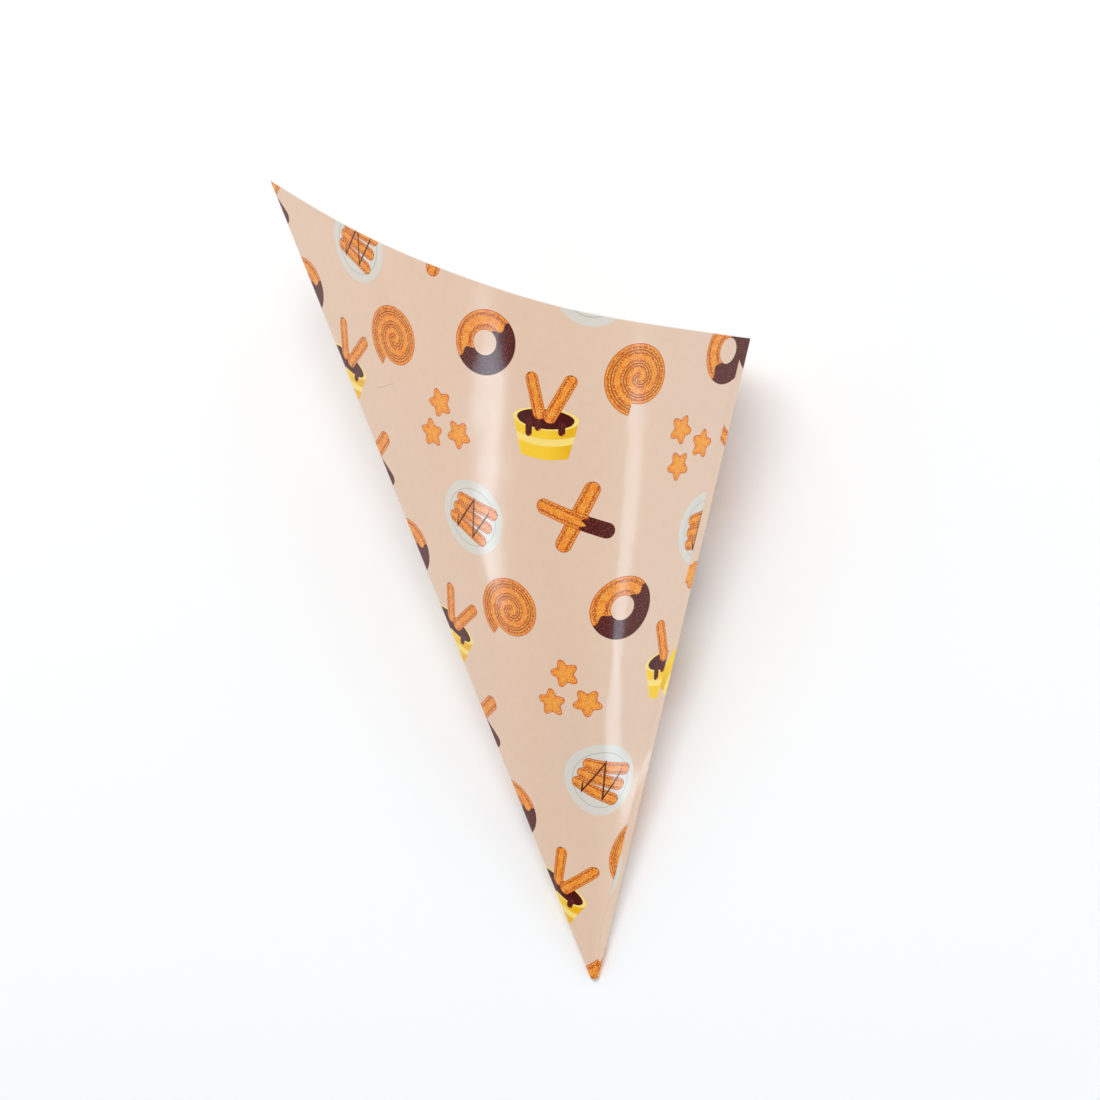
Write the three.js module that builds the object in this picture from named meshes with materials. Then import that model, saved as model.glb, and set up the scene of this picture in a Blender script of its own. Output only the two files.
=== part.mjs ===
// Paper cone for hot churros: one sheet of glossy printed card, folded down its left side into a
// tall spike, closed by a flap glued under the front panel at the right, and opened to a lens-shaped
// mouth. It lies on the flat strip along the middle of its back, with the point of the cone towards
// -Y, the mouth towards +Y and the front panel up. Lengths are in millimetres, angles in radians.
import * as THREE from 'three';

const degrees = Math.PI / 180;

// The sheet and the two folds, measured from the point where both folds would meet.
const SHEET = 0.3;
const SPIKE_SIDE = 290;
const SEAM_SIDE = 220;
const FOLD_ANGLE = 35.4 * degrees;
const TIP_CUT = 3;

// The swell of the two panels either side of the folds, at the end of the seam side.
const FRONT_RISE = 47.5;
const FRONT_LEAN = 0.132;
const FRONT_FULLNESS = 0.055;
const BACK_DEPTH = 36.5;
const BACK_FLAT = 46;

// The glued lap: distances from the right fold of the front panel's raw edge and of the flap's edge.
const RAW_EDGE_AT_MOUTH = 3.6;
const RAW_EDGE_AT_TIP = 5.4;
const FLAP_WIDTH = 14;

// Near the tip the lap's edges keep within these shares of the front panel.
const RAW_EDGE_LIMIT = 0.3;
const FLAP_LIMIT = 0.6;

// How finely the sheet is drawn.
const FRONT_STEPS = 30;
const ARC_STEPS = 9;
const FLAT_STEPS = 4;
const ROWS = 16;
const ROW_CROWDING = 1.9;
const CURVE_SAMPLES = 400;
const EDGE_EASE = 0.12;
const TANGENT_STEP = 1e-4;
const SETTLE_STEPS = 6;

// The cone is drawn through a plane one unit from its point, where the folds lie at x = +-HALF_MOUTH.
const HALF_MOUTH = Math.tan(FOLD_ANGLE / 2);
const MOUTH_REACH = SEAM_SIDE * Math.cos(FOLD_ANGLE / 2);
const RISE = FRONT_RISE / MOUTH_REACH;
const DEPTH = BACK_DEPTH / MOUTH_REACH;
const HALF_FLAT = BACK_FLAT / MOUTH_REACH / 2;

// Front panel from the right fold (s = 0) to the left fold (s = 1), a leaning arch.
function frontCurve(s) {
  const turn = Math.PI * s;
  const arch = Math.sin(turn) + FRONT_LEAN * Math.sin(2 * turn) + FRONT_FULLNESS * Math.sin(3 * turn);
  return new THREE.Vector3(HALF_MOUTH * (1 - 2 * s), 1, RISE * arch);
}

// Back panel from the left fold to the right fold: an arc down, a flat strip and an arc up.
function backCurve(s) {
  const run = HALF_MOUTH - HALF_FLAT;
  const radius = (run * run + DEPTH * DEPTH) / (2 * DEPTH);
  const sweep = 2 * Math.atan2(DEPTH, run);
  const part = 3 * s;
  if (part >= 1 && part <= 2) {
    return new THREE.Vector3(HALF_FLAT * (2 * part - 3), 1, -DEPTH);
  }
  const side = part < 1 ? -1 : 1;
  const turn = sweep * (part < 1 ? 1 - part : part - 2);
  const x = HALF_FLAT + radius * Math.sin(turn);
  return new THREE.Vector3(side * x, 1, radius * (1 - Math.cos(turn)) - DEPTH);
}

// Lays a panel out flat: the angle at the cone's point between its first edge and each line of it.
function layOut(curve) {
  const angles = [0];
  let last = curve(0).normalize();
  for (let i = 1; i <= CURVE_SAMPLES; i += 1) {
    const next = curve(i / CURVE_SAMPLES).normalize();
    angles.push(angles[i - 1] + last.angleTo(next));
    last = next;
  }
  const width = angles[CURVE_SAMPLES];
  const angleAt = (s) => {
    const i = Math.min(Math.floor(s * CURVE_SAMPLES), CURVE_SAMPLES - 1);
    return THREE.MathUtils.lerp(angles[i], angles[i + 1], s * CURVE_SAMPLES - i);
  };
  const shareAt = (angle) => {
    let i = 0;
    while (i < CURVE_SAMPLES - 1 && angles[i + 1] < angle) i += 1;
    const part = (angle - angles[i]) / (angles[i + 1] - angles[i]);
    return THREE.MathUtils.clamp((i + part) / CURVE_SAMPLES, 0, 1);
  };
  return { curve, width, angleAt, shareAt };
}

const front = layOut(frontCurve);
const back = layOut(backCurve);

// The line from the cone's point through a panel at share s, and the panel's outward normal there.
function lineAt(panel, s) {
  const before = panel.curve(Math.max(s - TANGENT_STEP, 0));
  const after = panel.curve(Math.min(s + TANGENT_STEP, 1));
  const direction = panel.curve(s).normalize();
  const normal = direction.clone().cross(after.sub(before)).normalize();
  return { direction, normal };
}

// At a fold both panels' faces are offset alike, so their offset faces meet along one edge.
function foldBetween(one, other) {
  const sum = one.normal.clone().add(other.normal);
  const normal = sum.divideScalar(1 + one.normal.dot(other.normal));
  return { direction: one.direction, normal };
}

const rightFold = foldBetween(lineAt(front, 0), lineAt(back, 1));
const leftFold = foldBetween(lineAt(front, 1), lineAt(back, 0));

// Straight cut of the rim in the flat sheet, from one fold's end to the other's.
function cutRadius(startSide, endSide, width, angle) {
  const area = startSide * endSide * Math.sin(width);
  return area / (startSide * Math.sin(angle) + endSide * Math.sin(width - angle));
}

const frontRim = (angle) => cutRadius(SEAM_SIDE, SPIKE_SIDE, front.width, angle);
const backRim = (angle) => cutRadius(SPIKE_SIDE, SEAM_SIDE, back.width, angle);

// Angle at the cone's point of an edge that runs a given distance inside the right fold.
function edgeAngle(distance, radius, limit) {
  return Math.asin(Math.min(distance / radius, Math.sin(limit * front.width)));
}

function rawEdgeAngle(radius) {
  const distance = THREE.MathUtils.lerp(RAW_EDGE_AT_TIP, RAW_EDGE_AT_MOUTH, radius / SEAM_SIDE);
  return edgeAngle(distance, radius, RAW_EDGE_LIMIT);
}

const flapAngle = (radius) => edgeAngle(FLAP_WIDTH, radius, FLAP_LIMIT);

// A lengthwise edge of the front panel: its angle depends on the distance from the cone's point.
function frontEdge(angleOf, level) {
  let end = SEAM_SIDE;
  for (let i = 0; i < SETTLE_STEPS; i += 1) end = frontRim(angleOf(end));
  return { end, level, lineOf: (radius) => lineAt(front, front.shareAt(angleOf(radius))) };
}

function backEdge(s, level) {
  const line = lineAt(back, s);
  return { end: backRim(back.angleAt(s)), level, lineOf: () => line };
}

function foldEdge(fold, side, level) {
  return { end: side, level, lineOf: () => fold };
}

// Each station pairs an edge of the outer face with the edge of the inner face beneath it.
const stations = [];
const addStation = (outer, inner) => stations.push({ outer, inner });

// The strip of flap that shows beside the fold, then the front panel's raw edge standing on it.
function addStrip() {
  addStation(foldEdge(rightFold, SEAM_SIDE, SHEET), foldEdge(rightFold, SEAM_SIDE, 0));
  const half = (radius) => rawEdgeAngle(radius) / 2;
  addStation(frontEdge(half, SHEET), frontEdge(half, 0));
  const eased = (side) => (radius) => rawEdgeAngle(radius) + side * EDGE_EASE / radius;
  addStation(frontEdge(rawEdgeAngle, SHEET), frontEdge(eased(-1), 0));
  addStation(frontEdge(rawEdgeAngle, 2 * SHEET), frontEdge(eased(1), 0));
}

// The double thickness where the flap is glued under the front panel, up to the flap's edge.
function addGluedLap() {
  for (const share of [1 / 3, 2 / 3]) {
    const between = (radius) => THREE.MathUtils.lerp(rawEdgeAngle(radius), flapAngle(radius), share);
    addStation(frontEdge(between, 2 * SHEET), frontEdge(between, 0));
  }
  const eased = (side) => (radius) => flapAngle(radius) + side * EDGE_EASE / radius;
  addStation(frontEdge(eased(-1), 2 * SHEET), frontEdge(flapAngle, 0));
  addStation(frontEdge(eased(1), 2 * SHEET), frontEdge(flapAngle, SHEET));
}

// The single front panel, which eases down by one thickness between the flap and the left fold.
function addFrontPanel() {
  for (let i = 1; i < FRONT_STEPS; i += 1) {
    const share = i / FRONT_STEPS;
    const across = (radius) => THREE.MathUtils.lerp(flapAngle(radius), front.width, share);
    const lift = SHEET * (1 + Math.cos(Math.PI * share)) / 2;
    addStation(frontEdge(across, SHEET + lift), frontEdge(across, lift));
  }
}

function addBackPanel() {
  addStation(foldEdge(leftFold, SPIKE_SIDE, SHEET), foldEdge(leftFold, SPIKE_SIDE, 0));
  const addAt = (s) => addStation(backEdge(s, SHEET), backEdge(s, 0));
  for (let i = 1; i <= ARC_STEPS; i += 1) addAt(i / ARC_STEPS / 3);
  for (let i = 1; i < FLAT_STEPS; i += 1) addAt((1 + i / FLAT_STEPS) / 3);
  for (let i = 0; i < ARC_STEPS; i += 1) addAt((2 + i / ARC_STEPS) / 3);
}

// Point of an edge at a share of its length, crowded towards the tip where the lap's edges bend.
function pointOn(edge, share) {
  const radius = TIP_CUT + (edge.end - TIP_CUT) * share ** ROW_CROWDING;
  const { direction, normal } = edge.lineOf(radius);
  return direction.clone().multiplyScalar(radius).addScaledVector(normal, edge.level);
}

// Closes the outer face, the inner face, the rim and the blunt tip into one skin.
function sheetGeometry() {
  const count = stations.length;
  const positions = [];
  for (const face of ['outer', 'inner']) {
    for (const station of stations) {
      for (let row = 0; row <= ROWS; row += 1) {
        positions.push(...pointOn(station[face], row / ROWS).toArray());
      }
    }
  }
  const outer = (i, row) => (i % count) * (ROWS + 1) + row;
  const inner = (i, row) => outer(i, row) + count * (ROWS + 1);
  const index = [];
  const quad = (a, b, c, d) => index.push(a, b, c, a, c, d);
  for (let i = 0; i < count; i += 1) {
    for (let row = 0; row < ROWS; row += 1) {
      quad(outer(i, row), outer(i, row + 1), outer(i + 1, row + 1), outer(i + 1, row));
      quad(inner(i, row), inner(i + 1, row), inner(i + 1, row + 1), inner(i, row + 1));
    }
    quad(outer(i, ROWS), inner(i, ROWS), inner(i + 1, ROWS), outer(i + 1, ROWS));
    quad(inner(i + 1, 0), inner(i, 0), outer(i, 0), outer(i + 1, 0));
  }
  const geometry = new THREE.BufferGeometry();
  geometry.setAttribute('position', new THREE.Float32BufferAttribute(positions, 3));
  geometry.setIndex(index);
  return geometry;
}

// Turns the cone onto its flat strip and centres it over the origin.
function layDown(geometry) {
  geometry.rotateX(Math.atan(DEPTH));
  geometry.computeBoundingBox();
  const { min, max } = geometry.boundingBox;
  geometry.translate(-(min.x + max.x) / 2, -(min.y + max.y) / 2, -min.z);
  geometry.computeVertexNormals();
  return geometry;
}

addStrip();
addGluedLap();
addFrontPanel();
addBackPanel();

const glossyCard = new THREE.MeshStandardMaterial({ color: 0xe0c6af, roughness: 0.35, metalness: 0 });
const cone = new THREE.Mesh(layDown(sheetGeometry()), glossyCard);
cone.name = 'paper_cone';

const churroCone = new THREE.Group();
churroCone.add(cone);

export default churroCone;
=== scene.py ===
"""Churro cone: one sheet of glossy printed card, folded and glued to itself, lying on its back."""

import bpy
import numpy as np
from mathutils import Matrix, Vector


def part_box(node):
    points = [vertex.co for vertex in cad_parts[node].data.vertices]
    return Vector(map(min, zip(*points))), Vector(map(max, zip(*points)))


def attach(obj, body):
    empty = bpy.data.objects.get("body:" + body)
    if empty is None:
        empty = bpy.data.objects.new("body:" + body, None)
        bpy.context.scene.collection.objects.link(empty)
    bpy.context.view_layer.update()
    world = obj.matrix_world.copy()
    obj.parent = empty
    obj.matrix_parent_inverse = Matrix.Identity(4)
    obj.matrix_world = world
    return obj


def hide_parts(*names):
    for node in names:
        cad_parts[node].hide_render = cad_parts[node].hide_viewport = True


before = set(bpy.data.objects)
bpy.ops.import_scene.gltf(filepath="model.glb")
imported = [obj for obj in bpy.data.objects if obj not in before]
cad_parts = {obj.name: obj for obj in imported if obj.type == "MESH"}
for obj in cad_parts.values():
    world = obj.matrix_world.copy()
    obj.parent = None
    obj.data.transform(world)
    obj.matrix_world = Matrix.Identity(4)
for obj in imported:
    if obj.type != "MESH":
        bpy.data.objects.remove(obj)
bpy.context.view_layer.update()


# The view: a camera above the lying cone, a little on the seam side and towards its point, as the
# photograph looks at the front panel. The field is that of a square picture 1100 pixels wide.
PICTURE = 1100
FOCAL_PIXELS = 1853
SENSOR = 0.036
CAMERA_AT = Vector((0.1242, -0.0641, 0.6192))
LOOKS_ALONG = Vector((-0.192, 0.116, -0.974))
PICTURE_UP = Vector((0.068, 0.992, 0.105))


def aim(at, along, up):
    """Matrix of a camera or lamp at a point, with its own -Z along a direction and +Y near up."""
    back = -along.normalized()
    right = up.cross(back).normalized()
    turn = Matrix((right, back.cross(right), back)).transposed().to_4x4()
    return Matrix.Translation(at) @ turn


camera = bpy.data.objects.new("camera", bpy.data.cameras.new("camera"))
camera.data.sensor_width = SENSOR * 1000
camera.data.lens = SENSOR * 1000 * FOCAL_PIXELS / PICTURE
camera.matrix_world = aim(CAMERA_AT, LOOKS_ALONG, PICTURE_UP)
bpy.context.scene.collection.objects.link(camera)
bpy.context.scene.camera = camera


# The studio: a pale matt table in a white tent that is dimmer overhead, a soft box above and behind
# the cone's mouth, and three low lamps. The gloss of the front panel mirrors the two beside the cone
# as streaks, and its flatter part by the lap mirrors the one in front.
TENT_WALL, TENT_TOP = 1.2, 0.2
TOP_FROM = 0.85
TABLE_WHITE = (0.95, 0.95, 0.95, 1)
TABLE_ROUGHNESS = 0.9
TABLE_SIDE = 6.0


def put(tree, kind, *inputs, output=0, **settings):
    """A node with its settings and its inputs in order, each a value or another node's output."""
    made = tree.nodes.new(kind)
    for name, value in settings.items():
        setattr(made, name, value)
    for socket, value in zip(made.inputs, inputs):
        if isinstance(value, bpy.types.NodeSocket):
            tree.links.new(value, socket)
        elif value is not None:
            socket.default_value = value
    return made.outputs[output]


def plain_material(name, colour, roughness):
    """A new node material with one even colour, and its Principled shader."""
    material = bpy.data.materials.new(name)
    material.use_nodes = True
    shader = material.node_tree.nodes["Principled BSDF"]
    shader.inputs["Base Color"].default_value = colour
    shader.inputs["Roughness"].default_value = roughness
    return material, shader


def add_lamp(name, at, towards, size, watts, colour):
    """A rectangular lamp at a point, facing another, with its longer side standing up."""
    lamp = bpy.data.lights.new(name, "AREA")
    lamp.shape = "RECTANGLE"
    lamp.size, lamp.size_y = size
    lamp.energy = watts
    lamp.color = colour
    holder = bpy.data.objects.new(name, lamp)
    holder.matrix_world = aim(Vector(at), Vector(towards) - Vector(at), Vector((0, 0, 1)))
    bpy.context.scene.collection.objects.link(holder)


tent = bpy.data.worlds.new("tent")
tent.use_nodes = True
tent.node_tree.nodes["Background"].inputs["Color"].default_value = (1, 1, 1, 1)
seen_towards = put(tent.node_tree, "ShaderNodeTexCoord")
upwards = put(tent.node_tree, "ShaderNodeSeparateXYZ", seen_towards, output=2)
tent_light = put(tent.node_tree, "ShaderNodeMapRange", upwards, 0.0, TOP_FROM, TENT_WALL, TENT_TOP)
tent.node_tree.links.new(tent_light, tent.node_tree.nodes["Background"].inputs["Strength"])
bpy.context.scene.world = tent

half = TABLE_SIDE / 2
table_mesh = bpy.data.meshes.new("table")
table_corners = [(-half, -half, 0), (half, -half, 0), (half, half, 0), (-half, half, 0)]
table_mesh.from_pydata(table_corners, [], [(0, 1, 2, 3)])
table = bpy.data.objects.new("table", table_mesh)
table_mesh.materials.append(plain_material("table", TABLE_WHITE, TABLE_ROUGHNESS)[0])
bpy.context.scene.collection.objects.link(table)

MIRRORED = (0.0, 0.03, 0.06)
WARM_WHITE, COOL_WHITE = (1, 1, 1), (0.7, 0.93, 1.12)
add_lamp("soft_box", (-0.08, 0.83, 1.5), MIRRORED, (1.4, 1.0), 21.5, WARM_WHITE)
add_lamp("left_strip", (-0.928, -0.366, 0.42), MIRRORED, (0.068, 0.5), 1.0, COOL_WHITE)
add_lamp("right_strip", (0.86, -0.52, 0.245), MIRRORED, (0.34, 0.24), 1.1, COOL_WHITE)
add_lamp("low_front", (0.67, -0.795, 0.14), MIRRORED, (0.4, 0.3), 1.75, COOL_WHITE)


# The sheet: coated card 0.3 mm thick, folded down the left side into the spike and down the right
# side, where a flap turned in from the back panel is glued under the front panel. Its shape is a cone
# of straight lines from one point, given by how far each line leans up or down between the folds.
SHEET = 0.0003
SPIKE_SIDE = 0.290
SEAM_SIDE = 0.220
FOLD_ANGLE = np.radians(35.4)
TIP_CUT = 0.003
FRONT_RISE, FRONT_LEAN, FRONT_FULLNESS = 0.0475, 0.132, 0.055
BACK_DEPTH, BACK_FLAT = 0.0365, 0.046
RAW_EDGE_AT_MOUTH, RAW_EDGE_AT_TIP, FLAP_WIDTH = 0.0036, 0.0054, 0.014
RAW_EDGE_LIMIT, FLAP_LIMIT = 0.3, 0.6
FOLD_SOFTNESS = 0.002
TURN_STEPS = 6000

# Beside the right fold the glued lap keeps the front flatter, from near the tip to a third of the way
# up. A soft ridge runs up from the tip beside that flatter part.
FLAT_DEPTH, FLAT_WIDTH, FLAT_WIDEST_SHARE = 0.0076, 0.024, 0.5
FLAT_FROM_TIP, FLAT_AT, FLAT_REACH = 0.05, 0.063, 0.033
RIDGE_SHARE, RIDGE_SHIFT, RIDGE_HEIGHT, RIDGE_WIDTH, RIDGE_TOP = 0.47, 1.85, 0.0001, 0.008, 0.13

half_mouth = np.tan(FOLD_ANGLE / 2)
mouth_reach = SEAM_SIDE * np.cos(FOLD_ANGLE / 2)
rise, depth, half_flat = FRONT_RISE / mouth_reach, BACK_DEPTH / mouth_reach, BACK_FLAT / mouth_reach / 2


def front_lines(s):
    """Leaning arch over the folds: sin(turn) with a share of sin(2 turn) and sin(3 turn)."""
    turn = np.pi * s
    arch = np.sin(turn) + FRONT_LEAN * np.sin(2 * turn) + FRONT_FULLNESS * np.sin(3 * turn)
    return np.stack([half_mouth * (1 - 2 * s), np.ones_like(s), rise * arch], -1)


def back_lines(s):
    """Arc down from the left fold, flat strip, arc up to the right fold."""
    run = half_mouth - half_flat
    radius = (run**2 + depth**2) / (2 * depth)
    sweep = 2 * np.arctan2(depth, run)
    part = 3 * s
    turn = sweep * np.where(part < 1, 1 - part, np.maximum(part - 2, 0))
    flat = (part >= 1) & (part <= 2)
    x = np.where(flat, half_flat * (2 * part - 3), np.sign(part - 1.5) * (half_flat + radius * np.sin(turn)))
    z = np.where(flat, -depth, radius * (1 - np.cos(turn)) - depth)
    return np.stack([x, np.ones_like(s), z], -1)


def laid_out(lines, samples=3000):
    """Unit directions of a panel's lines and their angles when the panel is laid flat."""
    direction = lines(np.linspace(0, 1, samples))
    direction /= np.linalg.norm(direction, axis=1)[:, None]
    step = np.linalg.norm(np.diff(direction, axis=0), axis=1)
    return direction, np.concatenate([[0], np.cumsum(step)])


front_direction, front_angle = laid_out(front_lines)
back_direction, back_angle = laid_out(back_lines)
front_width, back_width = front_angle[-1], back_angle[-1]
whole_turn = front_width + back_width

# The whole turn at even steps, with the two folds eased over a small angle, laid on its flat strip.
turns = np.linspace(0, whole_turn, TURN_STEPS, endpoint=False)
ring_angle = np.concatenate([front_angle, front_width + back_angle[1:]])
ring = np.concatenate([front_direction, back_direction[1:]])
lean = np.arctan(depth)
ring = ring @ np.array([[1, 0, 0], [0, np.cos(lean), np.sin(lean)], [0, -np.sin(lean), np.cos(lean)]])
direction_at = np.stack([np.interp(turns, ring_angle, ring[:, k]) for k in range(3)], -1)
reach = int(round(FOLD_SOFTNESS / (whole_turn / TURN_STEPS)))
direction_at = np.mean([np.roll(direction_at, k, 0) for k in range(-reach, reach + 1)], 0)
direction_at /= np.linalg.norm(direction_at, axis=1)[:, None]
normal_at = np.cross(direction_at, np.roll(direction_at, -1, 0) - np.roll(direction_at, 1, 0))
normal_at /= np.linalg.norm(normal_at, axis=1)[:, None]


def on_ring(table, angle):
    """Values of a table of the whole turn at any angles, wrapping round."""
    return np.stack([np.interp(angle, turns, table[:, k], period=whole_turn) for k in range(3)], -1)


def rim_radius(angle):
    """Straight cuts of the rim in the flat sheet: corner to spike, then spike to corner."""
    def cut(start, end, width, a):
        return start * end * np.sin(width) / (start * np.sin(a) + end * np.sin(width - a))
    front = cut(SEAM_SIDE, SPIKE_SIDE, front_width, np.minimum(angle, front_width))
    back = cut(SPIKE_SIDE, SEAM_SIDE, back_width, np.maximum(angle - front_width, 0))
    return np.where(angle <= front_width, front, back)


def angle_of(place, radius):
    """Angle of a place round the sheet: 0 and 4 right fold, 1 raw edge, 2 flap's edge, 3 left fold."""
    inset = RAW_EDGE_AT_TIP + (RAW_EDGE_AT_MOUTH - RAW_EDGE_AT_TIP) * radius / SEAM_SIDE
    raw = np.arcsin(np.minimum(inset / radius, np.sin(RAW_EDGE_LIMIT * front_width)))
    flap = np.arcsin(np.minimum(FLAP_WIDTH / radius, np.sin(FLAP_LIMIT * front_width)))
    marks = [0 * raw, raw, flap, 0 * raw + front_width, 0 * raw + whole_turn]
    part = np.clip(np.floor(place), 0, 3)
    start, end = np.choose(part.astype(int), marks[:-1]), np.choose(part.astype(int), marks[1:])
    return start + (place - part) * (end - start)


# The stations round the sheet, closer together at the folds and at the two edges of the lap.
STRIP = np.array([0, 0.03, 0.08, 0.2, 0.45, 0.7, 0.9])
LAP = np.linspace(1, 2, 9)[1:-1]
PANEL = 2 + np.linspace(0, 1, 111)[1:-1]
NEAR_FOLD = 3 + np.array([-0.006, -0.003, 0, 0.003, 0.006])
BACK = 3 + np.linspace(0, 1, 91)[1:-1]
REST = np.concatenate([PANEL[:-1], NEAR_FOLD, BACK[1:-1], [3.985, 3.994]])
outer_place = np.concatenate([STRIP, [1, 1.001], LAP, [1.99, 2.0], REST])
inner_place = np.concatenate([STRIP, [0.97, 1.02], LAP, [2, 2.0001], REST])
count = len(outer_place)
raw_edge = len(STRIP)
flap_edge = raw_edge + 2 + len(LAP)
station = np.arange(count)
lift = SHEET * np.where(outer_place < 3, (1 + np.cos(np.pi * np.clip(outer_place - 2, 0, 1))) / 2, 0)
outer_level = SHEET + np.where(station > raw_edge, lift, 0)
inner_level = np.where(station > flap_edge, lift, 0)
ROWS, ROW_CROWDING = 150, 1.15
CUT_ROUNDING = 0.0012
row_share = np.append(np.linspace(0, 1, ROWS) ** ROW_CROWDING * (1 - CUT_ROUNDING), 1.0)
RIM_ROUNDS = 6


def face_grid(place, level):
    """Points of one face: radius * direction + level * normal, less the flatter part straight down.

    Each line ends at the rim, found in a few rounds because the angle of an edge depends on the radius.
    The flatter part rises as 1 - (1 - t)^2 from the right fold, falls as a half cosine to the left fold,
    and fades up the cone as a bell. The ridge falls off as exp(-distance).
    """
    end = np.full(len(place), SEAM_SIDE)
    for _ in range(RIM_ROUNDS):
        end = rim_radius(angle_of(place, end))
    radius = TIP_CUT + (end[:, None] - TIP_CUT) * row_share[None, :]
    angle = angle_of(place[:, None] + 0 * radius, radius)
    share = angle / front_width
    flat_share = np.minimum(FLAT_WIDTH / (front_width * radius), FLAT_WIDEST_SHARE)
    rising = 1 - (1 - np.clip(share / flat_share, 0, 1)) ** 2
    falling = (1 + np.cos(np.pi * np.clip((share - flat_share) / (1 - flat_share), 0, 1))) / 2
    lasting = np.clip(radius / FLAT_FROM_TIP, 0, 1)
    lasting = lasting * np.exp(-((np.maximum(radius - FLAT_AT, 0) / FLAT_REACH) ** 2))
    flatter = FLAT_DEPTH * rising * falling * lasting
    from_ridge = np.abs(share - RIDGE_SHARE - RIDGE_SHIFT * radius) * front_width * radius
    fading = np.clip((RIDGE_TOP - radius) / (RIDGE_TOP / 3), 0, 1) * (share < 1)
    flatter = flatter - RIDGE_HEIGHT * fading * np.exp(-from_ridge / RIDGE_WIDTH)
    where = radius[..., None] * on_ring(direction_at, angle)
    where[..., 2] -= flatter
    return where + level[:, None, None] * on_ring(normal_at, angle), radius, angle


outer_point, outer_radius, outer_angle = face_grid(outer_place, outer_level)
inner_point, inner_radius, inner_angle = face_grid(inner_place, inner_level)
points = np.concatenate([outer_point.reshape(-1, 3), inner_point.reshape(-1, 3)])

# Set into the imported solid's own box, side by side.
low, high = (np.array(corner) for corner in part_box("paper_cone"))
least, most = points.min(0), points.max(0)
points = low + (points - least) * (high - low) / (most - least)

# One closed skin: outer face, inner face, rim and blunt tip.
row = ROWS + 1
i, j = (grid.ravel() for grid in np.meshgrid(np.arange(count), np.arange(ROWS), indexing="ij"))
here, ahead, inside = i * row + j, (i + 1) % count * row + j, count * row
outer_faces = np.stack([here, here + 1, ahead + 1, ahead], -1)
inner_faces = np.stack([here, ahead, ahead + 1, here + 1], -1) + inside
edge, onward = station * row, (station + 1) % count * row
rim_faces = np.concatenate([
    np.stack([edge + ROWS, edge + inside + ROWS, onward + inside + ROWS], -1),
    np.stack([edge + ROWS, onward + inside + ROWS, onward + ROWS], -1),
])
tip_faces = np.concatenate([
    np.stack([onward + inside, edge + inside, edge], -1),
    np.stack([onward + inside, edge, onward], -1),
])
PRINTED, PLAIN, CUT = 0, 1, 2
outer_kind = np.where((i == raw_edge) | (j == ROWS - 1), CUT, PRINTED)
inner_kind = np.where(i == flap_edge, CUT, PLAIN)
kinds = np.concatenate([outer_kind, inner_kind, np.full(len(rim_faces) + len(tip_faces), CUT)])

# Where each point lies in the flat sheet, from the cone's point, with the left fold along +X. The
# front panel is on its -Y side, and beyond the back panel's right fold comes the flap.
SHEET_SPAN, SHEET_U, SHEET_V = 0.36, 0.02, 0.5
INSIDE_SPAN, INSIDE_U, INSIDE_V = 1.9, 0.84, 0.2
SHARPER_THAN = 40


def flat_place(radius, angle, last_of_flap):
    """Polar angle from the left fold, turned into the sheet's own X and Y."""
    on_flap = (station <= last_of_flap)[:, None]
    turn = np.where(on_flap, back_width + angle, angle - front_width)
    return np.stack([radius * np.cos(turn), radius * np.sin(turn)], -1).reshape(-1, 2)


outer_uv = flat_place(outer_radius, outer_angle, raw_edge) / SHEET_SPAN + (SHEET_U, SHEET_V)
inner_uv = flat_place(inner_radius, inner_angle, flap_edge) / INSIDE_SPAN + (INSIDE_U, INSIDE_V)
place_uv = np.concatenate([outer_uv, inner_uv])

cone_mesh = bpy.data.meshes.new("paper_cone_sheet")
faces = outer_faces.tolist() + inner_faces.tolist() + rim_faces.tolist() + tip_faces.tolist()
cone_mesh.from_pydata(points.tolist(), [], faces)
corners = np.empty(len(cone_mesh.loops), int)
cone_mesh.loops.foreach_get("vertex_index", corners)
cone_mesh.uv_layers.new(name="flat_sheet").uv.foreach_set("vector", place_uv[corners].ravel())
cone_mesh.polygons.foreach_set("material_index", kinds)
cone_mesh.shade_smooth()
cone_mesh.set_sharp_from_angle(angle=np.radians(SHARPER_THAN))
paper_cone = bpy.data.objects.new("paper_cone_sheet", cone_mesh)
bpy.context.scene.collection.objects.link(paper_cone)


# The print: flat inks on a peach ground, drawn in millimetres of the flat sheet before folding. Six
# sweet-stall drawings repeat every 94 by 74 mm, each row shifted half a repeat and turned a little.
REPEAT_X, REPEAT_Y = 94.0, 74.0
ROW_TURN = 0.35
INK_EDGE = 0.16
GROOVES, GRAINS, GRAIN_EDGE = 11.0, 2.3, 11.0
OUTLINE = 0.5


def ink(red, green, blue):
    """Linear colour of an ink from its 0 to 255 values."""
    share = np.array([red, green, blue]) / 255
    return (*np.where(share <= 0.04045, share / 12.92, ((share + 0.055) / 1.055) ** 2.4), 1.0)


PEACH, PEACH_SHADE = ink(229, 197, 172), ink(227, 194, 169)
ORANGE, GOLDEN, DEEP_ORANGE = ink(232, 124, 28), ink(238, 148, 42), ink(190, 84, 24)
SUGARED = ink(250, 192, 106)
CHOCOLATE, WARM_CHOCOLATE = ink(74, 11, 9), ink(136, 62, 44)
YELLOW, DEEP_YELLOW, PALE_YELLOW = ink(248, 201, 50), ink(234, 178, 28), ink(250, 219, 122)
PLATE_WHITE, PLATE_GREY = ink(218, 210, 198), ink(194, 184, 172)
# Darker ink for the painted shade along the two creases.
CREASE_PAINTED_SHADE = ink(150, 128, 112)


def sum_of(tree, operation, *values, clamp=False):
    return put(tree, "ShaderNodeMath", *values, operation=operation, use_clamp=clamp)


def scaled(tree, value, factor, plus=0.0, clamp=False):
    return sum_of(tree, "MULTIPLY_ADD", value, factor, plus, clamp=clamp)


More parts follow.
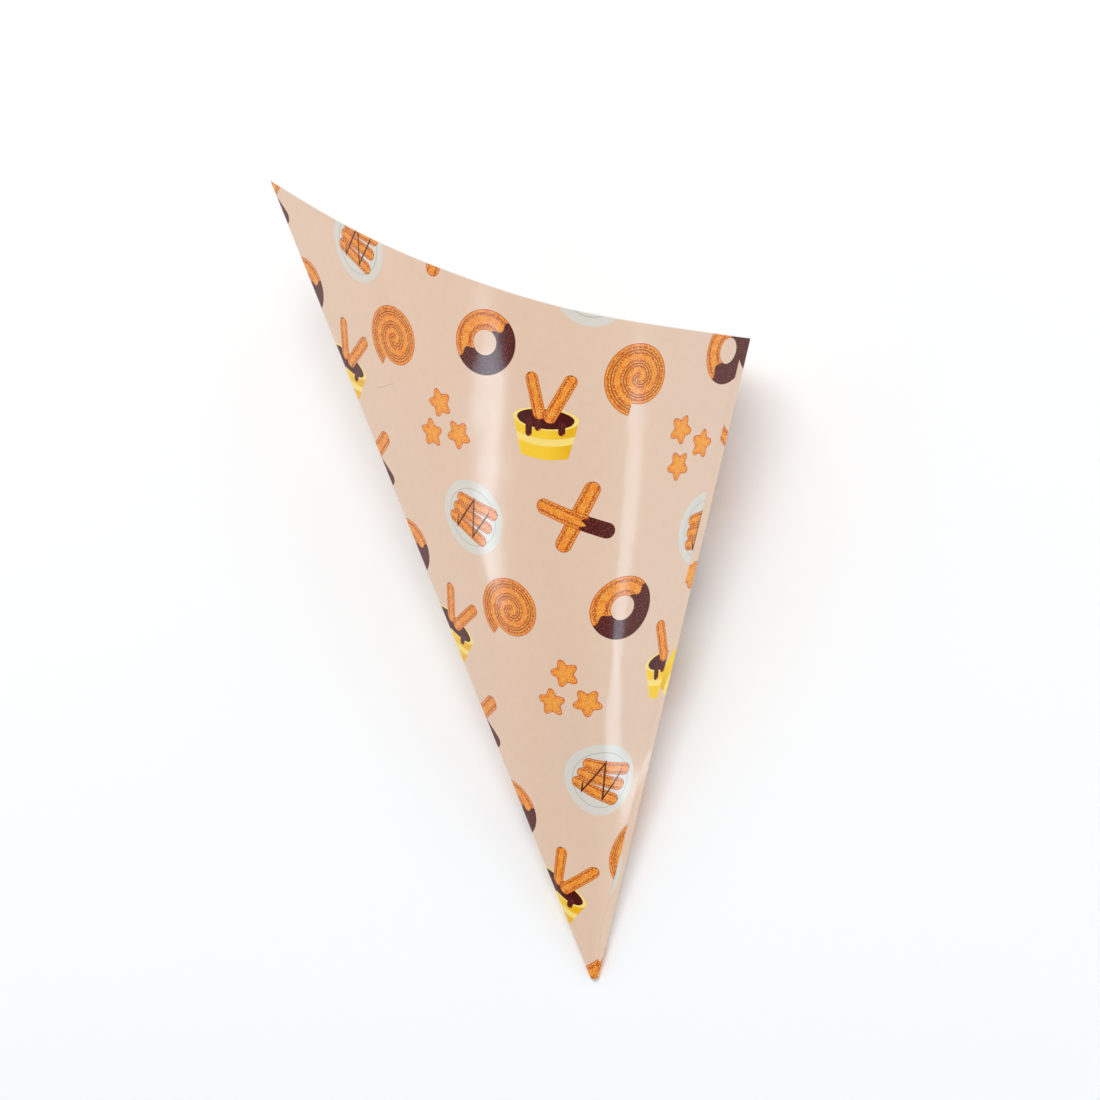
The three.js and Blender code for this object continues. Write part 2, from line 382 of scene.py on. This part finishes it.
def length_of(tree, vector):
    return put(tree, "ShaderNodeVectorMath", vector, operation="LENGTH", output="Value")


def parts_of(tree, vector):
    """X and Y of a place."""
    return put(tree, "ShaderNodeSeparateXYZ", vector).node.outputs[:2]


def cover_of(tree, distance):
    """Full ink inside a shape's outline, none outside, from the distance to it in millimetres."""
    return scaled(tree, distance, -1 / INK_EDGE, 0.5, clamp=True)


def line_cover(tree, distance, width):
    """Ink of a drawn line, from the distance to its middle."""
    return cover_of(tree, scaled(tree, sum_of(tree, "ABSOLUTE", distance), 1.0, -width / 2))


def over(tree, below, above, cover):
    """One colour laid over another where the cover is 1."""
    mixed = tree.nodes.new("ShaderNodeMix")
    mixed.data_type = "RGBA"
    for socket, value in ((mixed.inputs[0], cover), (mixed.inputs[6], below), (mixed.inputs[7], above)):
        if isinstance(value, bpy.types.NodeSocket):
            tree.links.new(value, socket)
        else:
            socket.default_value = value
    return mixed.outputs[2]


def new_drawing(name, **sizes):
    """A node group that draws one thing about its own centre, from its Place to an Ink and a Cover."""
    tree = bpy.data.node_groups.new(name, "ShaderNodeTree")
    tree.interface.new_socket("Place", in_out="INPUT", socket_type="NodeSocketVector")
    for size, value in sizes.items():
        tree.interface.new_socket(size, in_out="INPUT", socket_type="NodeSocketFloat").default_value = value
    tree.interface.new_socket("Ink", in_out="OUTPUT", socket_type="NodeSocketColor")
    tree.interface.new_socket("Cover", in_out="OUTPUT", socket_type="NodeSocketFloat")
    return tree, tree.nodes.new("NodeGroupInput").outputs


def finish_drawing(tree, layers):
    """The group's result: its layers of colour and cover one over another, the first at the bottom."""
    colour, cover = layers[0]
    for above, above_cover in layers[1:]:
        colour = over(tree, colour, above, above_cover)
        cover = sum_of(tree, "MAXIMUM", cover, above_cover)
    end = tree.nodes.new("NodeGroupOutput")
    for socket, value in zip(end.inputs, (colour, cover)):
        if isinstance(value, bpy.types.NodeSocket):
            tree.links.new(value, socket)
        else:
            socket.default_value = value
    return tree


def turned_place(tree, place, at, turned):
    """A place read from another centre, turned by an angle in degrees."""
    return put(tree, "ShaderNodeMapping", place, (*at, 0), (0, 0, np.radians(turned)), vector_type="TEXTURE")


def draw(tree, drawing, place, at=(0, 0), turned=0.0, **sizes):
    """Lays a drawing down at a place of another."""
    made = tree.nodes.new("ShaderNodeGroup")
    made.node_tree = drawing
    tree.links.new(turned_place(tree, place, at, turned), made.inputs["Place"])
    for size, value in sizes.items():
        made.inputs[size].default_value = value
    return made.outputs["Ink"], made.outputs["Cover"]


def fried(tree, place, across):
    """Fried dough: dark grooves along it, from -1 to 1 across, and sugar grains. Gives ink and grains."""
    tone = put(tree, "ShaderNodeMapRange", put(tree, "ShaderNodeTexNoise", place, None, 0.45, 1.0), 0.4, 0.6)
    wobble = scaled(tree, put(tree, "ShaderNodeTexNoise", place, None, 0.6, 1.0), 1.6, -0.8)
    groove = sum_of(tree, "COSINE", sum_of(tree, "MULTIPLY_ADD", across, GROOVES / 2, wobble))
    groove = scaled(tree, groove, -2.4, -1.0, clamp=True)
    grains = put(tree, "ShaderNodeTexNoise", place, None, GRAINS, 1.0)
    grains = scaled(tree, grains, GRAIN_EDGE, -6.1, clamp=True)
    colour = over(tree, ORANGE, GOLDEN, tone)
    colour = over(tree, colour, DEEP_ORANGE, groove)
    return over(tree, colour, SUGARED, grains), grains


def dipped(tree, dough, grains, distance):
    """Chocolate with warm specks over the dough, inside a distance."""
    return over(tree, dough, over(tree, CHOCOLATE, WARM_CHOCOLATE, grains), cover_of(tree, distance))


def fried_stick():
    """Ridged stick along X, with the share Dip of its far end in chocolate."""
    tree, given = new_drawing("fried_stick", Length=18.0, Radius=2.2, Dip=0.0)
    x, y = parts_of(tree, given["Place"])
    half_run = sum_of(tree, "SUBTRACT", scaled(tree, given["Length"], 0.5), given["Radius"])
    beyond = sum_of(tree, "MAXIMUM", sum_of(tree, "SUBTRACT", sum_of(tree, "ABSOLUTE", x), half_run), 0.0)
    reach = length_of(tree, put(tree, "ShaderNodeCombineXYZ", beyond, y))
    outline = sum_of(tree, "SUBTRACT", reach, given["Radius"])
    dough, grains = fried(tree, given["Place"], sum_of(tree, "DIVIDE", y, given["Radius"]))
    dough = over(tree, dough, DEEP_ORANGE, line_cover(tree, outline, OUTLINE))
    dip_line = scaled(tree, sum_of(tree, "SINE", scaled(tree, y, 2.4)), 0.9, 0.0)
    start = sum_of(tree, "MULTIPLY", given["Length"], scaled(tree, given["Dip"], -1.04, 0.52))
    distance = sum_of(tree, "SUBTRACT", start, sum_of(tree, "ADD", x, dip_line))
    return finish_drawing(tree, [(dipped(tree, dough, grains, distance), cover_of(tree, outline))])


def crossed_sticks(stick):
    """Two sticks laid across each other, the upper one dipped."""
    tree, given = new_drawing("crossed_sticks")
    low_stick = draw(tree, stick, given["Place"], (0.6, 0.4), 40, Length=25.0, Radius=2.6, Dip=0.0)
    top_stick = draw(tree, stick, given["Place"], (-0.4, 0), -44, Length=26.0, Radius=2.6, Dip=0.4)
    return finish_drawing(tree, [low_stick, top_stick])


def dip_pot(stick):
    """A yellow pot with a pale band, full of chocolate that drips over its lip, and two sticks in it."""
    tree, given = new_drawing("dip_pot")
    left_stick = draw(tree, stick, given["Place"], (-3.2, 9.4), 104, Length=15.0, Radius=2.1, Dip=0.0)
    right_stick = draw(tree, stick, given["Place"], (4.6, 8.8), 62, Length=17.0, Radius=2.1, Dip=0.0)
    x, y = parts_of(tree, given["Place"])
    side = sum_of(tree, "SUBTRACT", sum_of(tree, "ABSOLUTE", x), scaled(tree, y, 0.24, 10.0))
    foot = sum_of(tree, "SUBTRACT", scaled(tree, sum_of(tree, "MULTIPLY", x, x), 0.017, -10.4), y)
    body = sum_of(tree, "MAXIMUM", sum_of(tree, "MAXIMUM", side, foot), scaled(tree, y, 1.0, -2.4))
    colour = over(tree, YELLOW, DEEP_YELLOW, scaled(tree, x, 0.14, -0.1, clamp=True))
    bend = scaled(tree, sum_of(tree, "MULTIPLY", x, x), -0.017, 5.0)
    colour = over(tree, colour, PALE_YELLOW, line_cover(tree, sum_of(tree, "ADD", y, bend), 2.2))
    lip = length_of(tree, put(tree, "ShaderNodeCombineXYZ", x, scaled(tree, y, 3.0, -7.2)))
    inner = scaled(tree, lip, 1.0, -9.2)
    layers = [(colour, cover_of(tree, body)), (PALE_YELLOW, cover_of(tree, scaled(tree, lip, 1.0, -10.6)))]
    layers += [(CHOCOLATE, cover_of(tree, inner)), left_stick, right_stick]
    front = sum_of(tree, "MAXIMUM", scaled(tree, inner, 1.0, -0.2), scaled(tree, y, 1.0, -1.2))
    layers.append((CHOCOLATE, cover_of(tree, front)))
    for drip_x, drip_y, drip_length in ((-5.2, -0.6, 6.0), (-2.2, 0.2, 3.6), (5.4, -0.2, 4.6)):
        drip = {"Length": drip_length, "Radius": 1.1, "Dip": 1.0}
        layers.append(draw(tree, stick, given["Place"], (drip_x, drip_y), 90, **drip))
    return finish_drawing(tree, layers)


def dipped_ring():
    """A ring of fried dough, a little wider than high, dipped below a wavy line."""
    tree, given = new_drawing("dipped_ring")
    x, y = parts_of(tree, given["Place"])
    reach = length_of(tree, put(tree, "ShaderNodeCombineXYZ", scaled(tree, x, 0.92), y))
    from_middle = scaled(tree, reach, 1.0, -7.0)
    outline = scaled(tree, sum_of(tree, "ABSOLUTE", from_middle), 1.0, -3.1)
    dough, grains = fried(tree, given["Place"], scaled(tree, from_middle, 0.32))
    dough = over(tree, dough, DEEP_ORANGE, line_cover(tree, outline, OUTLINE))
    distance = sum_of(tree, "ADD", y, scaled(tree, sum_of(tree, "SINE", scaled(tree, x, 1.1)), 0.8, -1.0))
    return finish_drawing(tree, [(dipped(tree, dough, grains, distance), cover_of(tree, outline))])


def plate_of_sticks(stick):
    """A pale round plate with a line round it, three sticks side by side and a drizzle of chocolate."""
    tree, given = new_drawing("plate_of_sticks")
    reach = length_of(tree, given["Place"])
    x, y = parts_of(tree, given["Place"])
    colour = over(tree, PLATE_WHITE, PLATE_GREY, line_cover(tree, scaled(tree, reach, 1.0, -9.6), 0.35))
    layers = [(colour, cover_of(tree, scaled(tree, reach, 1.0, -12.4)))]
    for k in (-1, 0, 1):
        at = (0.5 * k, 4.6 * k)
        layers.append(draw(tree, stick, given["Place"], at, 7 * k, Length=17.0, Radius=2.1, Dip=0.0))
    zigzag = sum_of(tree, "PINGPONG", scaled(tree, x, 3.4, 40.0), 12.0)
    drizzle = sum_of(tree, "SUBTRACT", scaled(tree, zigzag, 1.0, -6.0), y)
    ends = scaled(tree, sum_of(tree, "ABSOLUTE", x), 1.0, -5.6)
    drizzle = sum_of(tree, "MAXIMUM", scaled(tree, sum_of(tree, "ABSOLUTE", drizzle), 0.28, -0.28), ends)
    layers.append((CHOCOLATE, cover_of(tree, drizzle)))
    return finish_drawing(tree, layers)


def star_slices():
    """Three slices of a ridged stick: rounded five-pointed stars with a paler middle."""
    tree, given = new_drawing("star_slices")
    layers = []
    for at, turned in (((-6.2, -3.0), 10), ((5.6, -4.2), 40), ((0.6, 6.4), 25)):
        local = turned_place(tree, given["Place"], at, turned)
        x, y = parts_of(tree, local)
        points = sum_of(tree, "COSINE", scaled(tree, sum_of(tree, "ARCTAN2", y, x), 5.0))
        outline = sum_of(tree, "SUBTRACT", length_of(tree, local), scaled(tree, points, 0.85, 4.0))
        grains = put(tree, "ShaderNodeTexNoise", local, None, GRAINS, 1.0)
        grains = scaled(tree, grains, GRAIN_EDGE, -5.9, clamp=True)
        colour = over(tree, ORANGE, GOLDEN, cover_of(tree, scaled(tree, outline, 1.0, 1.5)))
        colour = over(tree, over(tree, colour, SUGARED, grains), DEEP_ORANGE, line_cover(tree, outline, 0.6))
        layers.append((colour, cover_of(tree, outline)))
    return finish_drawing(tree, layers)


def dough_coil():
    """A stick wound into a flat coil: the place across the nearest turn of an even spiral."""
    tree, given = new_drawing("dough_coil")
    x, y = parts_of(tree, given["Place"])
    reach = length_of(tree, given["Place"])
    share = scaled(tree, sum_of(tree, "ARCTAN2", y, x), 0.5 / np.pi)
    turn = sum_of(tree, "FRACT", sum_of(tree, "SUBTRACT", scaled(tree, reach, 1 / 4.1), share))
    across = scaled(tree, turn, 2.0, -1.0)
    outline = sum_of(tree, "SUBTRACT", reach, scaled(tree, share, 4.1, 10.25))
    dough, grains = fried(tree, given["Place"], across)
    gap = scaled(tree, sum_of(tree, "ABSOLUTE", across), 9.0, -7.9, clamp=True)
    dough = over(tree, over(tree, dough, CHOCOLATE, gap), DEEP_ORANGE, line_cover(tree, outline, OUTLINE))
    return finish_drawing(tree, [(dough, cover_of(tree, outline))])


def half_drop_repeat():
    """The place within the nearest copy of a drawing: rows shifted by half a repeat, each turned more."""
    tree = bpy.data.node_groups.new("half_drop_repeat", "ShaderNodeTree")
    tree.interface.new_socket("Place", in_out="INPUT", socket_type="NodeSocketVector")
    tree.interface.new_socket("Turn", in_out="INPUT", socket_type="NodeSocketFloat")
    tree.interface.new_socket("Place", in_out="OUTPUT", socket_type="NodeSocketVector")
    given = tree.nodes.new("NodeGroupInput").outputs
    x, y = parts_of(tree, given["Place"])
    row_number = sum_of(tree, "ROUND", scaled(tree, y, 1 / REPEAT_Y))
    local_y = scaled(tree, row_number, -REPEAT_Y, y)
    local_x = sum_of(tree, "WRAP", scaled(tree, row_number, REPEAT_X / 2, x), -REPEAT_X / 2, REPEAT_X / 2)
    angle = scaled(tree, row_number, ROW_TURN, given["Turn"])
    local = put(tree, "ShaderNodeCombineXYZ", local_x, local_y)
    turned = put(tree, "ShaderNodeVectorRotate", local, (0, 0, 0), (0, 0, 1), angle, rotation_type="Z_AXIS")
    tree.links.new(turned, tree.nodes.new("NodeGroupOutput").inputs["Place"])
    return tree


stick = fried_stick()
repeat = half_drop_repeat()
MOTIFS = (
    (crossed_sticks(stick), (4, 3), 2.0),
    (dip_pot(stick), (34, -2), 2.45),
    (dipped_ring(), (65, 4), 1.9),
    (plate_of_sticks(stick), (18, 38), 2.8),
    (star_slices(), (49, 33), 2.2),
    (dough_coil(), (80, 39), 1.5),
)


# Painted shade along two hairline creases by the left fold: middle of each in the sheet, direction and
# length.
CREASE_SHADE_LINES = (((209.6, -20.2), -99.5, 14.0), ((226.8, -19.2), -103.0, 7.0))
CREASE_SHADE_WIDTH, CREASE_SHADE_STRENGTH = 0.22, 0.45


def printed_colour(tree):
    """The ground, a little uneven, every drawing over it and painted shade along the creases, from the flat
    sheet's own millimetres.
    """
    sheet_place = put(tree, "ShaderNodeUVMap", uv_map="flat_sheet")
    from_point = put(tree, "ShaderNodeVectorMath", sheet_place, (SHEET_U, SHEET_V, 0), operation="SUBTRACT")
    span = (SHEET_SPAN * 1000,) * 3
    millimetres = put(tree, "ShaderNodeVectorMath", from_point, span, operation="MULTIPLY")
    mottle = put(tree, "ShaderNodeTexNoise", millimetres, None, 0.35, 3.0)
    colour = over(tree, PEACH_SHADE, PEACH, put(tree, "ShaderNodeMapRange", mottle, 0.3, 0.7))
    for drawing, (x, y), turn in MOTIFS:
        local = tree.nodes.new("ShaderNodeGroup")
        local.node_tree = repeat
        from_centre = put(tree, "ShaderNodeVectorMath", millimetres, (x, y, 0), operation="SUBTRACT")
        tree.links.new(from_centre, local.inputs["Place"])
        local.inputs["Turn"].default_value = turn
        colour = over(tree, colour, *draw(tree, drawing, local.outputs["Place"]))
    for middle, direction, length in CREASE_SHADE_LINES:
        # Painted shade: a thin darker line along each crease, fading towards its ends.
        along, across = parts_of(tree, turned_place(tree, millimetres, middle, direction))
        ends = scaled(tree, sum_of(tree, "ABSOLUTE", along), -0.4, 0.2 * length, clamp=True)
        painted_crease_shade = sum_of(tree, "MULTIPLY", line_cover(tree, across, CREASE_SHADE_WIDTH), ends)
        colour = over(tree, colour, CREASE_PAINTED_SHADE, scaled(tree, painted_crease_shade, CREASE_SHADE_STRENGTH))
    return colour


# The finishes: gloss coating over the ink with the fine ripple of coated card, the uncoated pale
# inside, and the white core that shows along every cut edge. Then the sheet takes the solid's place.
GLOSS, GLOSS_STRENGTH = 0.14, 0.38
INSIDE_WHITE, CORE_WHITE = ink(232, 228, 222), ink(236, 232, 228)


def add_ripple(tree, shader, layers):
    """Bumps from noise on the piece's own place, each layer given as waves per metre, height and detail."""
    place = put(tree, "ShaderNodeTexCoord", output="Object")
    normal = None
    for waves, height, detail in layers:
        noise = put(tree, "ShaderNodeTexNoise", place, None, waves, detail)
        bump = tree.nodes.new("ShaderNodeBump")
        bump.inputs["Distance"].default_value = height
        tree.links.new(noise, bump.inputs["Height"])
        if normal is not None:
            tree.links.new(normal, bump.inputs["Normal"])
        normal = bump.outputs["Normal"]
    tree.links.new(normal, shader.inputs["Normal"])


printed, shader = plain_material("glossy_print", PEACH, GLOSS)
shader.inputs["Specular IOR Level"].default_value = GLOSS_STRENGTH
tree = printed.node_tree
tree.links.new(printed_colour(tree), shader.inputs["Base Color"])
add_ripple(tree, shader, ((70, 0.00022, 1.0), (900, 0.000012, 2.0)))

plain, plain_shader = plain_material("uncoated_inside", INSIDE_WHITE, 0.75)
add_ripple(plain.node_tree, plain_shader, ((70, 0.0002, 1.0), (1400, 0.00002, 3.0)))
core, core_shader = plain_material("white_core", CORE_WHITE, 0.8)
add_ripple(core.node_tree, core_shader, ((2500, 0.00003, 2.0),))
for finish in (printed, plain, core):
    cone_mesh.materials.append(finish)
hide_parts("paper_cone")
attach(paper_cone, "root")

bpy.context.scene.view_settings.view_transform = "Standard"
